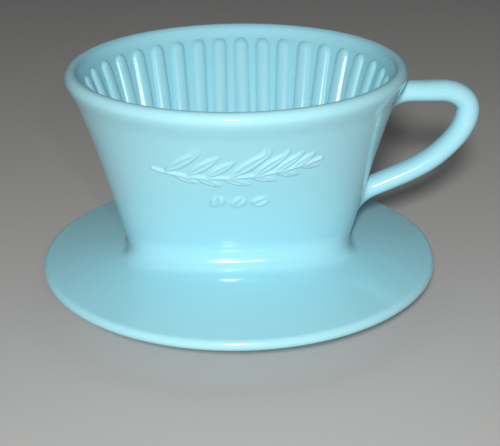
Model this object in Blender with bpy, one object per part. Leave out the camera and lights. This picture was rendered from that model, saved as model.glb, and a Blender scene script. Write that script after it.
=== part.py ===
"""Pour-over coffee dripper in glazed porcelain: a ribbed filter cone on a wide saucer.

It is made of five pieces of clay, luted together with slip before the firing: the filter
cone, the pierced drip floor that closes its lower end, the saucer with the neck that the
cone stands in, the foot ring under the saucer, and the loop handle.

Metres, +Z up. The table is at Z = 0, the saucer's edge is widest in the XY plane, the handle
points along +X, and the origin is below the middle of the whole outline, handle included.
"""

import math

import bmesh
import bpy
import numpy as np
from mathutils import Vector
from mathutils.geometry import interpolate_bezier

MM = 0.001

# Whole object
TOTAL_HEIGHT = 78.0 * MM
LUTE_GAP = 0.3 * MM  # slip joint between two pieces of clay

# Filter cone: round at the rim, a flattened oval at the neck
RIM_RADIUS = 53.1 * MM
CONE_WALL = 4.0 * MM
LIP_BULGE = 0.3 * MM  # how much the rounded lip stands proud of half the wall
LIP_LEAN = math.radians(27.0)  # inside, where the lip runs into the wall
LIP_UNDERCUT = math.radians(60.0)  # outside, how far under its widest point the lip runs
NECK_ABOVE_EDGE = 15.5 * MM  # where the cone stands on the neck, above the saucer's edge
NECK_HALF_LENGTH = 38.6 * MM
NECK_HALF_DEPTH = 25.3 * MM
NECK_SQUARENESS = 2.4
ROUND = 2.0
LENGTH_STRAIGHTNESS = 0.83  # 1 is a straight wall, less flares towards the rim
DEPTH_STRAIGHTNESS = 0.92

# Well: the part of the cone inside the neck, down to the drip floor
FLOOR_BELOW_LAND = 3.8 * MM
WELL_END_CLEARANCE = 1.75 * MM  # from the spigot's end to the foot ring that it passes
FLOOR_HALF_DEPTH = 9.5 * MM
FLOOR_THICKNESS = 4.0 * MM
SPIGOT_WALL = 2.0 * MM
DRIP_HOLE_DIAMETER = 3.5 * MM
DRIP_HOLE_COUNT = 3
DRIP_HOLE_SPACING = 14.0 * MM

# Ribs on the cone's inside
RIB_COUNT = 36
RIB_FIRST_ANGLE = math.radians(7.0)
RIB_GATHER = math.radians(2.7)  # draws the ribs together on the flanks
RIB_FOOT_ANGLE = math.radians(2.5)
RIB_CREST_ANGLE = math.radians(1.6)
RIB_HEIGHT = 1.1 * MM
RIB_TOP_BELOW_RIM = 4.1 * MM
RIB_END_LENGTH = 1.8 * MM

# Saucer
SAUCER_RADIUS = 64.2 * MM
SAUCER_EDGE_HEIGHT = 13.0 * MM  # middle of the rounded edge
SAUCER_EDGE_RADIUS = 1.8 * MM
SAUCER_DOME_RISE = 4.6 * MM
SAUCER_LAND_BELOW_EDGE = 0.2 * MM  # flat ring underneath that rests on a mug
SAUCER_LAND_INSET = 12.2 * MM  # from the saucer's outline to the land
FOOT_SEAT_DEPTH = 0.3 * MM  # shallow recess in the land that the foot ring is luted in
FOOT_SEAT_MARGIN = 1.5 * MM
NECK_FILLET_AT_ENDS = 2.4 * MM
NECK_FILLET_AT_FLANKS = 6.2 * MM

# Foot ring
FOOT_OUTER_RADIUS = 36.0 * MM
FOOT_WALL = 4.0 * MM
FOOT_ROUNDING = 0.9 * MM

# Handle, in the XZ plane: the reach is from the cone's axis to the outside of the loop
HANDLE_REACH = 76.9 * MM
HANDLE_BELOW_RIM = 10.15 * MM  # middle of the upper arm
HANDLE_BEND_BELOW_RIM = 16.5 * MM  # where the loop reaches furthest out
HANDLE_HALF_THICKNESS = 3.2 * MM
HANDLE_BEND_HALF_THICKNESS = 3.65 * MM
HANDLE_BEND_LENGTH = 12.0 * MM  # how far from the bend the extra thickness fades out
HANDLE_HALF_WIDTH = 4.5 * MM
HANDLE_ROOT_FLARE = 4.2 * MM
HANDLE_ROOT_FLARE_LENGTH = 6.0 * MM
HANDLE_ROOT_ABOVE_NECK = 4.6 * MM  # end of the lower arm's middle line, inside the wall
HANDLE_LOWER_ARM = 11.2 * MM  # straight part of the lower arm
HANDLE_LOWER_SLOPE = math.radians(23.0)

CONE_AXIS_X = (SAUCER_RADIUS - HANDLE_REACH) / 2
LIP_RADIUS = CONE_WALL / 2 + LIP_BULGE
LIP_HEIGHT = TOTAL_HEIGHT - LIP_RADIUS
WALL_TOP = LIP_HEIGHT - LIP_RADIUS * math.sin(LIP_UNDERCUT)
NECK_HEIGHT = SAUCER_EDGE_HEIGHT + NECK_ABOVE_EDGE
SAUCER_EDGE_TOP_RADIUS = SAUCER_RADIUS - SAUCER_EDGE_RADIUS
SAUCER_LAND_HEIGHT = SAUCER_EDGE_HEIGHT - SAUCER_LAND_BELOW_EDGE
FOOT_SEAT_HEIGHT = SAUCER_LAND_HEIGHT + FOOT_SEAT_DEPTH
FOOT_INNER_RADIUS = FOOT_OUTER_RADIUS - FOOT_WALL
FLOOR_HEIGHT = SAUCER_LAND_HEIGHT - FLOOR_BELOW_LAND
WELL_LAND_HALF_LENGTH = FOOT_INNER_RADIUS - WELL_END_CLEARANCE - SPIGOT_WALL

GLAZE = (0.36, 0.70, 0.80, 1.0)
BISCUIT = (0.80, 0.78, 0.73, 1.0)


# ---------------------------------------------------------------- sections of the cone


def flare(t, straightness):
    """Share of the way from the neck's size to the rim's: a straight part and a cubic one."""
    return straightness * t + (1 - straightness) * t**3


def cone_outside(z):
    """Half length, half depth and squareness of the cone's outside at height z."""
    top_radius = RIM_RADIUS - LIP_RADIUS * (1 - math.cos(LIP_UNDERCUT))
    t = (z - NECK_HEIGHT) / (WALL_TOP - NECK_HEIGHT)
    along = flare(t, LENGTH_STRAIGHTNESS)
    across = flare(t, DEPTH_STRAIGHTNESS)
    half_length = NECK_HALF_LENGTH + (top_radius - NECK_HALF_LENGTH) * along
    half_depth = NECK_HALF_DEPTH + (top_radius - NECK_HALF_DEPTH) * across
    squareness = NECK_SQUARENESS + (ROUND - NECK_SQUARENESS) * max(t, 0.0)
    return half_length, half_depth, squareness


def cone_lean(z):
    """Outward lean of the wall at height z, at the ends and at the flanks, as slopes."""
    step = 0.1 * MM
    length_0, depth_0, _ = cone_outside(z)
    length_1, depth_1, _ = cone_outside(z + step)
    return (length_1 - length_0) / step, (depth_1 - depth_0) / step


def cone_inside(z):
    """Half length, half depth and squareness of the wall's inside, without its ribs."""
    neck = max(z, NECK_HEIGHT)
    half_length, half_depth, squareness = cone_outside(neck)
    end_slope, flank_slope = cone_lean(neck)
    half_length -= CONE_WALL * math.hypot(1, end_slope)
    half_depth -= CONE_WALL * math.hypot(1, flank_slope)
    if z >= NECK_HEIGHT:
        return half_length, half_depth, squareness
    # The ends bend in to pass the foot ring at the land, the flanks to the floor's depth.
    to_land = NECK_HEIGHT - SAUCER_LAND_HEIGHT
    to_floor = NECK_HEIGHT - FLOOR_HEIGHT
    end_bend = (half_length - end_slope * to_land - WELL_LAND_HALF_LENGTH) / to_land**2
    flank_bend = (half_depth - flank_slope * to_floor - FLOOR_HALF_DEPTH) / to_floor**2
    down = NECK_HEIGHT - z
    half_length -= end_slope * down + end_bend * down**2
    half_depth -= flank_slope * down + flank_bend * down**2
    return half_length, half_depth, squareness


def socket_heights():
    """Heights of the mesh rows that the spigot and its socket in the saucer both have."""
    return np.linspace(FOOT_SEAT_HEIGHT, NECK_HEIGHT - LUTE_GAP, 4)


def oval(half_length, half_depth, squareness, angles):
    """Points and outward normals of a superellipse, at the given eccentric angles."""
    power = 2 / squareness
    cosine, sine = np.cos(angles), np.sin(angles)
    unit_x = np.sign(cosine) * np.abs(cosine) ** power
    unit_y = np.sign(sine) * np.abs(sine) ** power
    points = np.stack([half_length * unit_x, half_depth * unit_y], axis=1)
    slope = squareness - 1
    normals = np.stack(
        [
            np.sign(unit_x) * np.abs(unit_x) ** slope / half_length,
            np.sign(unit_y) * np.abs(unit_y) ** slope / half_depth,
        ],
        axis=1,
    )
    normals /= np.linalg.norm(normals, axis=1)[:, None]
    return points, normals


def ring(size, z, angles, outward=0.0):
    """One closed loop of points round an oval at height z, moved outward along its normals."""
    points, normals = oval(*size, angles)
    moved = points + normals * np.reshape(outward, (-1, 1))
    return np.column_stack([moved, np.full(len(angles), z)])


def circle(radius, z, angles):
    return ring((radius, radius, ROUND), z, angles)


# ------------------------------------------------------------------------- mesh tools


def loft(name, rings, material, capped):
    """A closed solid through the rings: capped at both ends, or turned back into its first."""
    mesh = bmesh.new()
    loops = [[mesh.verts.new(point) for point in points] for points in rings]
    if capped:
        mesh.faces.new(loops[0])
        mesh.faces.new(loops[-1])
    else:
        loops.append(loops[0])
    for lower, upper in zip(loops, loops[1:]):
        for start in range(len(lower)):
            mesh.faces.new((lower[start - 1], lower[start], upper[start], upper[start - 1]))
    bmesh.ops.triangulate(mesh, faces=[face for face in mesh.faces if len(face.verts) > 4])
    bmesh.ops.recalc_face_normals(mesh, faces=mesh.faces)
    return finish(name, mesh, material)


def finish(name, mesh, material):
    """An object from the mesh, standing on the cone's axis, shaded smooth but for its edges."""
    data = bpy.data.meshes.new(name)
    mesh.to_mesh(data)
    mesh.free()
    data.shade_smooth()
    data.set_sharp_from_angle(angle=math.radians(35.0))
    piece = bpy.data.objects.new(name, data)
    bpy.context.collection.objects.link(piece)
    piece.parent = bpy.data.objects["cone_axis"]
    if material is not None:
        data.materials.append(material)
    return piece


def as_cutter(piece):
    piece.hide_render = True
    piece.display_type = "WIRE"
    return piece


def cut(piece, cutter):
    boolean = piece.modifiers.new(cutter.name, "BOOLEAN")
    boolean.operation = "DIFFERENCE"
    boolean.solver = "EXACT"
    boolean.object = as_cutter(cutter)


def ceramic(name, colour, roughness):
    material = bpy.data.materials.new(name)
    material.use_nodes = True
    shader = material.node_tree.nodes["Principled BSDF"]
    shader.inputs["Base Color"].default_value = colour
    shader.inputs["Roughness"].default_value = roughness
    shader.inputs["Metallic"].default_value = 0.0
    return material


# ------------------------------------------------------------------------- the pieces


def rib_columns():
    """Angles of the mesh columns, four to a rib, and the rib's relief at each, from 0 to 1."""
    centres = RIB_FIRST_ANGLE + np.arange(RIB_COUNT) * math.tau / RIB_COUNT
    centres += RIB_GATHER * np.sin(2 * centres)
    offsets = np.array([-RIB_FOOT_ANGLE, -RIB_CREST_ANGLE, RIB_CREST_ANGLE, RIB_FOOT_ANGLE])
    relief = np.array([0.0, 1.0, 1.0, 0.0])
    return (centres[:, None] + offsets).ravel(), np.tile(relief, RIB_COUNT)


def build_filter_cone(material):
    """Ribbed cone with a rounded lip; its thinner lower end is a spigot inside the neck."""
    angles, relief = rib_columns()
    rings = []
    for z in (FLOOR_HEIGHT, *socket_heights(), NECK_HEIGHT):
        rings.append(ring(cone_inside(z), z, angles, SPIGOT_WALL))
    for z in np.linspace(NECK_HEIGHT, WALL_TOP, 7):
        rings.append(ring(cone_outside(z), z, angles))
    lip_centre = RIM_RADIUS - LIP_RADIUS
    for turn in np.linspace(-LIP_UNDERCUT, math.pi - LIP_LEAN, 8)[1:]:
        radius = lip_centre + LIP_RADIUS * math.cos(turn)
        rings.append(circle(radius, LIP_HEIGHT + LIP_RADIUS * math.sin(turn), angles))
    rib_top = TOTAL_HEIGHT - RIB_TOP_BELOW_RIM
    full_rib = rib_top - RIB_END_LENGTH
    rib_rows = [(rib_top, 0.0), (rib_top - RIB_END_LENGTH / 3, 0.75)]
    rib_rows += [(z, 1.0) for z in np.linspace(full_rib, NECK_HEIGHT, 4)]
    rib_rows += [(z, 1.0) for z in (*socket_heights()[::-1], FLOOR_HEIGHT)]
    for z, height in rib_rows:
        rings.append(ring(cone_inside(z), z, angles, -RIB_HEIGHT * height * relief))
    return loft("filter_cone", rings, material, capped=False)


def build_drip_floor(material):
    """Oval slab under the cone's lower end, with a row of round holes for the coffee."""
    angles = np.linspace(0, math.tau, 64, endpoint=False)
    size = cone_inside(FLOOR_HEIGHT)
    top = FLOOR_HEIGHT - LUTE_GAP
    rounding = FLOOR_THICKNESS / 4
    rings = [
        ring(size, top - FLOOR_THICKNESS, angles, SPIGOT_WALL - rounding),
        ring(size, top - FLOOR_THICKNESS + rounding, angles, SPIGOT_WALL),
        ring(size, top, angles, SPIGOT_WALL),
    ]
    floor = loft("drip_floor", rings, material, capped=True)
    drills = bmesh.new()
    middle = (DRIP_HOLE_COUNT - 1) / 2
    for number in range(DRIP_HOLE_COUNT):
        drill = bmesh.ops.create_cone(
            drills,
            cap_ends=True,
            segments=20,
            radius1=DRIP_HOLE_DIAMETER / 2,
            radius2=DRIP_HOLE_DIAMETER / 2,
            depth=FLOOR_THICKNESS * 2,
        )
        place = Vector(((number - middle) * DRIP_HOLE_SPACING, 0, top - FLOOR_THICKNESS / 2))
        bmesh.ops.translate(drills, verts=drill["verts"], vec=place)
    cut(floor, finish("drip_drills", drills, None))
    return floor


def saucer_top(radius):
    """Height of the saucer's gently domed top at a distance from the axis."""
    edge_top = SAUCER_EDGE_HEIGHT + SAUCER_EDGE_RADIUS
    return edge_top + SAUCER_DOME_RISE * (1 - (radius / SAUCER_EDGE_TOP_RADIUS) ** 2)


def neck_fillet(angles, steps):
    """Rings down the outside of the neck and out over its fillet onto the saucer.

    In each vertical plane square to the neck the wall is a line that leans outward, the
    saucer is a line that falls away, and an arc of the fillet's radius joins the two.
    """
    size = cone_outside(NECK_HEIGHT)
    points, normals = oval(*size, angles)
    end_slope, flank_slope = cone_lean(NECK_HEIGHT)
    endwise = normals[:, 0] ** 2
    wall_lean = np.arctan(end_slope * endwise + flank_slope * (1 - endwise))
    radius = NECK_FILLET_AT_ENDS * endwise + NECK_FILLET_AT_FLANKS * (1 - endwise)
    distance = np.linalg.norm(points, axis=1)
    fall = np.arctan(2 * SAUCER_DOME_RISE * distance / SAUCER_EDGE_TOP_RADIUS**2)
    saucer_height = saucer_top(distance)
    # The arc's centre is one radius from both lines; offsets run outward from the neck.
    top = NECK_HEIGHT - LUTE_GAP
    wall_reach = radius / np.cos(wall_lean)
    floor_reach = radius / np.cos(fall)
    rise = saucer_height + floor_reach - NECK_HEIGHT
    slopes = np.tan(wall_lean), np.tan(fall)
    centre_out = (wall_reach + slopes[0] * rise) / (1 + slopes[0] * slopes[1])
    centre_up = NECK_HEIGHT + rise - slopes[1] * centre_out
    rings = []
    arc_start = centre_up + radius * np.sin(wall_lean)
    for share in (0.0, 0.5):
        z = top + (arc_start - top) * share
        out = np.tan(wall_lean) * (z - NECK_HEIGHT)
        rings.append(np.column_stack([points + normals * out[:, None], z]))
    for share in np.linspace(0, 1, steps):
        turn = math.pi - wall_lean + (math.pi / 2 + wall_lean - fall) * share
        out = centre_out + radius * np.cos(turn)
        z = centre_up + radius * np.sin(turn)
        rings.append(np.column_stack([points + normals * out[:, None], z]))
    return rings


def build_saucer(material):
    """Round domed plate with a rounded edge, and an oval neck that holds the cone's spigot."""
    angles = np.linspace(0, math.tau, 80, endpoint=False)
    rings = neck_fillet(angles, 6)
    foot = rings[-1]
    rim = circle(SAUCER_EDGE_TOP_RADIUS, 0.0, angles)
    for share in (1 / 3, 2 / 3, 1.0):
        points = foot * (1 - share) + rim * share
        points[:, 2] = saucer_top(np.linalg.norm(points[:, :2], axis=1))
        rings.append(points)
    for turn in np.linspace(math.pi / 2, -math.pi / 2, 7)[1:]:
        radius = SAUCER_EDGE_TOP_RADIUS + SAUCER_EDGE_RADIUS * math.cos(turn)
        z = SAUCER_EDGE_HEIGHT + SAUCER_EDGE_RADIUS * math.sin(turn)
        rings.append(circle(radius, z, angles))
    seat_radius = FOOT_OUTER_RADIUS + FOOT_SEAT_MARGIN
    rings.append(circle(SAUCER_RADIUS - SAUCER_LAND_INSET, SAUCER_LAND_HEIGHT, angles))
    rings.append(circle(seat_radius, SAUCER_LAND_HEIGHT, angles))
    rings.append(circle(seat_radius - FOOT_SEAT_DEPTH, FOOT_SEAT_HEIGHT, angles))
    rings.append(circle(FOOT_INNER_RADIUS, FOOT_SEAT_HEIGHT, angles))
    socket = SPIGOT_WALL + LUTE_GAP
    for z in socket_heights():
        rings.append(ring(cone_inside(z), z, angles, socket))
    return loft("saucer", rings, material, capped=False)


def build_foot_ring(material):
    """Plain turned ring that the dripper stands on; it keeps a mug's mouth centred below."""
    top = FOOT_SEAT_HEIGHT - LUTE_GAP
    corner = FOOT_ROUNDING * (1 - math.sqrt(0.5))
    profile = [
        (FOOT_OUTER_RADIUS, top),
        (FOOT_OUTER_RADIUS, FOOT_ROUNDING),
        (FOOT_OUTER_RADIUS - corner, corner),
        (FOOT_OUTER_RADIUS - FOOT_ROUNDING, 0.0),
        (FOOT_INNER_RADIUS + FOOT_ROUNDING, 0.0),
        (FOOT_INNER_RADIUS + corner, corner),
        (FOOT_INNER_RADIUS, FOOT_ROUNDING),
        (FOOT_INNER_RADIUS, top),
    ]
    mesh = bmesh.new()
    corners = [mesh.verts.new((radius, 0.0, z)) for radius, z in profile]
    outline = [mesh.edges.new(pair) for pair in zip(corners, corners[1:] + corners[:1])]
    bmesh.ops.spin(
        mesh,
        geom=outline,
        cent=(0, 0, 0),
        axis=(0, 0, 1),
        angle=math.tau,
        steps=72,
        use_merge=True,
    )
    bmesh.ops.recalc_face_normals(mesh, faces=mesh.faces)
    return finish("foot_ring", mesh, material)


def handle_path():
    """Middle line of the loop in XZ, from inside the wall under the rim to inside the neck."""
    arm = TOTAL_HEIGHT - HANDLE_BELOW_RIM
    bend = TOTAL_HEIGHT - HANDLE_BEND_BELOW_RIM
    reach = HANDLE_REACH - HANDLE_BEND_HALF_THICKNESS
    corner = (arm - bend) * 1.37  # how far the upper arm stops short of the outermost point
    inward = Vector((-math.cos(HANDLE_LOWER_SLOPE), -math.sin(HANDLE_LOWER_SLOPE)))
    root_height = NECK_HEIGHT + HANDLE_ROOT_ABOVE_NECK
    sunk = CONE_WALL * 0.6
    upper_root = Vector((cone_outside(arm)[0] - sunk, arm))
    arm_end = Vector((reach - corner, arm))
    outermost = Vector((reach, bend))
    lower_root = Vector((cone_outside(root_height)[0] - sunk, root_height))
    lower_arm = lower_root - inward * HANDLE_LOWER_ARM
    run, drop = outermost - lower_arm
    lower_bend = outermost - Vector((run * 0.344, drop * 0.617))
    across, down = Vector((1, 0)), Vector((0, -1))
    diagonal = Vector((-run * 1.07, -drop)).normalized()
    # Each span: two ends, the directions there, the handles as shares of it, and its points.
    spans = [
        (upper_root, across, 0.25, arm_end, across, 0.25, 8),
        (arm_end, across, 0.455, outermost, down, 0.324, 8),
        (outermost, down, 0.324, lower_bend, diagonal, 0.37, 8),
        (lower_bend, diagonal, 0.333, lower_arm, inward, 0.323, 7),
        (lower_arm, inward, 0.333, lower_root, inward, 0.333, 8),
    ]
    path = []
    for start, leave, leave_share, end, arrive, arrive_share, steps in spans:
        span = (end - start).length
        first = start + leave * span * leave_share
        second = end - arrive * span * arrive_share
        path += interpolate_bezier(start, first, second, end, steps + 1)[:-1]
    return np.array(path + [lower_root])


def root_flare(path):
    """How much the section grows near each root, from 0 along the loop to 1 at the wall."""
    growth = []
    for x, z in path:
        wall = cone_outside(max(z, NECK_HEIGHT))[0]
        clear = min(max((x - wall) / HANDLE_ROOT_FLARE_LENGTH, 0.0), 1.0)
        growth.append((1 - clear) ** 2)
    return np.array(growth)


def build_handle(material):
    """Loop of oval section; its ends are scribed to the cone and flare under each arm."""
    path = handle_path()
    tangent = np.gradient(path, axis=0)
    tangent /= np.linalg.norm(tangent, axis=1)[:, None]
    outward = np.column_stack([-tangent[:, 1], tangent[:, 0]])
    bend = TOTAL_HEIGHT - HANDLE_BEND_BELOW_RIM
    flared = root_flare(path)
    upper = path[:, 1] > bend
    bulge = HANDLE_BEND_HALF_THICKNESS - HANDLE_HALF_THICKNESS
    from_bend = np.hypot(path[:, 0] - path[:, 0].max(), path[:, 1] - bend)
    thickness = HANDLE_HALF_THICKNESS + bulge * np.clip(1 - from_bend / HANDLE_BEND_LENGTH, 0, 1)
    outer = thickness + HANDLE_ROOT_FLARE * flared * ~upper
    inner = thickness + HANDLE_ROOT_FLARE * flared * upper
    width = HANDLE_HALF_WIDTH + HANDLE_ROOT_FLARE / 4 * flared
    around = np.linspace(0, math.tau, 16, endpoint=False)
    rings = []
    for place, side, out, back, wide in zip(path, outward, outer, inner, width):
        reach = np.where(np.cos(around) > 0, out, back) * np.cos(around)
        x = place[0] + side[0] * reach
        z = place[1] + side[1] * reach
        rings.append(np.column_stack([x, wide * np.sin(around), z]))
    handle = loft("handle", rings, material, capped=True)
    angles = np.linspace(0, math.tau, 96, endpoint=False)
    heights = np.linspace(SAUCER_EDGE_HEIGHT, TOTAL_HEIGHT, 12)
    shell = [ring(cone_outside(z), z, angles, LUTE_GAP) for z in heights]
    cut(handle, loft("handle_scribe", shell, None, capped=True))
    return handle


def build_dripper():
    for leftover in list(bpy.data.objects):
        bpy.data.objects.remove(leftover)
    axis = bpy.data.objects.new("cone_axis", None)
    axis.location = (CONE_AXIS_X, 0.0, 0.0)
    bpy.context.collection.objects.link(axis)
    glaze = ceramic("pale_aqua_glaze", GLAZE, 0.08)
    biscuit = ceramic("biscuit_porcelain", BISCUIT, 0.6)
    build_filter_cone(glaze)
    build_drip_floor(glaze)
    build_saucer(glaze)
    build_foot_ring(biscuit)
    build_handle(glaze)


build_dripper()
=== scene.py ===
"""Looks of a pour-over coffee dripper: pale aqua glaze over slip-cast porcelain.

Every piece is a surface of two parameters worked out with numpy. The cone, the saucer and
the handle share one set of formulas, so that the glaze runs on from piece to piece without
a seam, as it does where clay pieces are luted together before the firing.

Lengths are in metres, +Z is up and the table is at Z = 0. The formulas work about the axis
of the cone, which stands a little to the left of the frame's origin.
"""

import math

import bpy
import numpy as np
from mathutils import Matrix, Vector


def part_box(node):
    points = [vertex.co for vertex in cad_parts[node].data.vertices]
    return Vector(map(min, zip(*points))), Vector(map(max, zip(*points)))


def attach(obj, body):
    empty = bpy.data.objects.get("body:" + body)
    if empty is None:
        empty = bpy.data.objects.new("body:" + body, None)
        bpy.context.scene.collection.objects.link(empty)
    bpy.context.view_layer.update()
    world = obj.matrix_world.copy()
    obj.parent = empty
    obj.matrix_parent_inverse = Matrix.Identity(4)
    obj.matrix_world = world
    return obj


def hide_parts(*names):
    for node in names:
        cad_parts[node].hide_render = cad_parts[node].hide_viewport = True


bl_info = {
    "name": "Porcelain Dripper",
    "version": (1, 0, 0),
    "blender": (4, 5, 0),
    "location": "3D View > Sidebar > Dripper",
    "description": "Builds a glazed pour-over dripper round its fixed CAD frame",
    "category": "Object",
}

MM = 0.001
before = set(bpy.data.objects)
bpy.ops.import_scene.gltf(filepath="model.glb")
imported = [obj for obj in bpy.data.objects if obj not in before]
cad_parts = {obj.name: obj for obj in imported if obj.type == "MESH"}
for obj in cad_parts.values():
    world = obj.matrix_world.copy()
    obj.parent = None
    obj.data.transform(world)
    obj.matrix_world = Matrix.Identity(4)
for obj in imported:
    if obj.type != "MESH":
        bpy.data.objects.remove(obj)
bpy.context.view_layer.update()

CONE_LOW, CONE_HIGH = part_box("filter_cone")
SAUCER_LOW, SAUCER_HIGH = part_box("saucer")
FOOT_LOW, FOOT_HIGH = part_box("foot_ring")
HANDLE_LOW, HANDLE_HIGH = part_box("handle")
FLOOR_LOW, FLOOR_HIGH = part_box("drip_floor")
AXIS_X = (CONE_LOW[0] + CONE_HIGH[0]) / 2

ROUND = 2.0  # squareness of a circle


# --------------------------------------------------------------------------- settings


def length(name, description, default):
    """A length in metres as a setting."""
    return bpy.props.FloatProperty(
        name=name, description=description, default=default, unit="LENGTH"
    )


def colour(name, description, default):
    """A colour in linear RGB as a setting."""
    return bpy.props.FloatVectorProperty(
        name=name, description=description, default=default, subtype="COLOR", min=0.0, max=1.0
    )


class DripperSizes(bpy.types.PropertyGroup):
    """Sizes of the clay pieces."""

    rim_radius: length(
        "Rim radius", "Outside radius of the cone's round rim", (CONE_HIGH[0] - CONE_LOW[0]) / 2
    )
    total_height: length("Height", "From the table to the top of the lip", CONE_HIGH[2])
    wall: length("Wall", "Thickness of the cone's wall without its ribs", 4.0 * MM)
    neck_height: length(
        "Neck height", "Where the cone stands on the saucer's neck", SAUCER_HIGH[2] + 0.3 * MM
    )
    neck_half_length: length("Neck half length", "Half of the neck's long side, along X", 38.6 * MM)
    neck_half_depth: length("Neck half depth", "Half of the neck's short side, along Y", 25.3 * MM)
    rib_count: bpy.props.IntProperty(
        name="Ribs", description="Ribs round the inside of the cone", default=36, min=3
    )
    rib_width: length("Rib width", "Width of one rib at its foot", 4.9 * MM)
    rib_height: length("Rib height", "How far a rib stands out from the wall", 1.2 * MM)
    relief_height: length(
        "Relief height", "How far the sprig and the beans stand out from the wall", 0.6 * MM
    )
    saucer_radius: length(
        "Saucer radius", "Outside radius of the saucer", (SAUCER_HIGH[0] - SAUCER_LOW[0]) / 2
    )
    saucer_rise: length(
        "Saucer rise", "How much the saucer's top would rise from its edge to the axis", 4.6 * MM
    )
    ripple: length(
        "Glaze ripple", "Height of the ripples where the glaze gathered round the neck", 0.035 * MM
    )
    handle_half_width: length(
        "Handle half width", "Half of the handle's width, across its loop", 4.5 * MM
    )


class DripperGlaze(bpy.types.PropertyGroup):
    """Colours of the glaze and of the clay under it."""

    body: colour("Glaze", "Colour of the glaze at its usual thickness", (0.400, 0.775, 0.870))
    thin: colour(
        "Thin glaze", "Colour over lips and crests, where the glaze drew thin", (0.470, 0.830, 0.900)
    )
    # This colour serves gathered glaze and also the painted shade inside the cone, along the rib feet,
    # at the lip's inner edge and on the sprig's flanks.
    pooled_and_shade: colour(
        "Pooled glaze", "Colour in grooves and corners, where the glaze gathered", (0.290, 0.670, 0.785)
    )
    clay: colour(
        "Bare clay", "Colour of the wiped standing face of the foot ring", (0.660, 0.630, 0.560)
    )


class DripperStage(bpy.types.PropertyGroup):
    """Floor, lights and camera."""

    floor: colour("Floor", "Colour of the plain floor", (0.60, 0.585, 0.565))
    key_power: bpy.props.FloatProperty(
        name="Key light",
        description="Power of the light near the camera",
        default=3.4,
        unit="POWER",
    )
    sky: bpy.props.FloatProperty(
        name="Sky", description="Strength of the even light from all round", default=0.06
    )


# ------------------------------------------------------------------------ numpy tools


def smooth_step(low, high, value):
    """0 below low, 1 above high, and the cubic 3t^2 - 2t^3 between them."""
    t = np.clip((value - low) / (high - low), 0.0, 1.0)
    return t * t * (3 - 2 * t)


def unit(vectors):
    return vectors / np.maximum(np.linalg.norm(vectors, axis=-1, keepdims=True), 1e-12)


def hermite(start, start_way, end, end_way, shares):
    """Rows of points on cubics that leave start along start_way and reach end along end_way."""
    t = np.reshape(shares, (-1,) + (1,) * start.ndim)
    return (
        start * (2 * t**3 - 3 * t**2 + 1)
        + start_way * (t**3 - 2 * t**2 + t)
        + end * (3 * t**2 - 2 * t**3)
        + end_way * (t**3 - t**2)
    )


def at_height(x, y, z):
    """Points from their coordinates, z broadcast to the others' shape."""
    return np.stack([x, y, np.broadcast_to(z, np.shape(x))], axis=-1)


def turned(profile, angles):
    """Rows of points from (radius, z) rows turned about the axis."""
    radius, z = profile[:, :1], profile[:, 1:]
    return at_height(radius * np.cos(angles), radius * np.sin(angles), z)


def grid_normals(grid):
    """Normals of a grid that is closed along its columns, from central differences."""
    along = np.roll(grid, -1, axis=1) - np.roll(grid, 1, axis=1)
    down = np.gradient(grid, axis=0)
    return unit(np.cross(along, down))


def quads_between(rows, columns, closed_rows):
    """Corner numbers of the quads of a grid whose columns, and if asked rows, close up."""
    last = rows if closed_rows else rows - 1
    row, column = np.meshgrid(np.arange(last), np.arange(columns), indexing="ij")
    next_row, next_column = (row + 1) % rows, (column + 1) % columns
    corners = [
        row * columns + column,
        row * columns + next_column,
        next_row * columns + next_column,
        next_row * columns + column,
    ]
    return np.stack(corners, axis=-1).reshape(-1, 4)


def shell(name, grid, pooling_and_shade, closed_rows=True, bare=None):
    """A closed mesh object from a grid of points, its columns closed into rings.

    Rows close into a ring too, or each end closes on one point, the middle of its last
    ring. If the signed volume comes out negative, every face is turned round.
    """
    rows, columns = grid.shape[:2]
    points = grid.reshape(-1, 3) + np.array([AXIS_X, 0.0, 0.0])
    quads = quads_between(rows, columns, closed_rows)
    triangles = np.empty((0, 3), int)
    values = [np.broadcast_to(pooling_and_shade, (rows, columns)).reshape(-1)]
    bare_values = [np.zeros(rows * columns) if bare is None else bare.reshape(-1)]
    if not closed_rows:
        ring = np.arange(columns)
        after = np.roll(ring, -1)
        first, last = rows * columns, rows * columns + 1
        start = np.stack([np.full(columns, first), after, ring], axis=1)
        base = (rows - 1) * columns
        end = np.stack([np.full(columns, last), base + ring, base + after], axis=1)
        triangles = np.concatenate([start, end])
        middle = grid[[0, -1]].mean(axis=1) + np.array([AXIS_X, 0.0, 0.0])
        points = np.concatenate([points, middle])
        values.append(np.array([values[0][0], values[0][-1]]))
        bare_values.append(np.array([bare_values[0][0], bare_values[0][-1]]))
    halves = np.concatenate([quads[:, [0, 1, 2]], quads[:, [0, 2, 3]], triangles])
    a, b, c = (points[halves[:, i]] for i in range(3))
    if np.einsum("ij,ij->", a, np.cross(b, c)) < 0:
        quads, triangles = quads[:, ::-1], triangles[:, ::-1]
    mesh = bpy.data.meshes.new(name)
    mesh.from_pydata(points.tolist(), [], quads.tolist() + triangles.tolist())
    mesh.shade_smooth()
    for label, parts in (("pooling_and_shade", values), ("bare", bare_values)):
        attribute = mesh.attributes.new(label, "FLOAT", "POINT")
        attribute.data.foreach_set("value", np.concatenate(parts).astype(np.float32))
    mesh.update()
    piece = bpy.data.objects.new(name, mesh)
    bpy.context.collection.objects.link(piece)
    return piece


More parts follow.
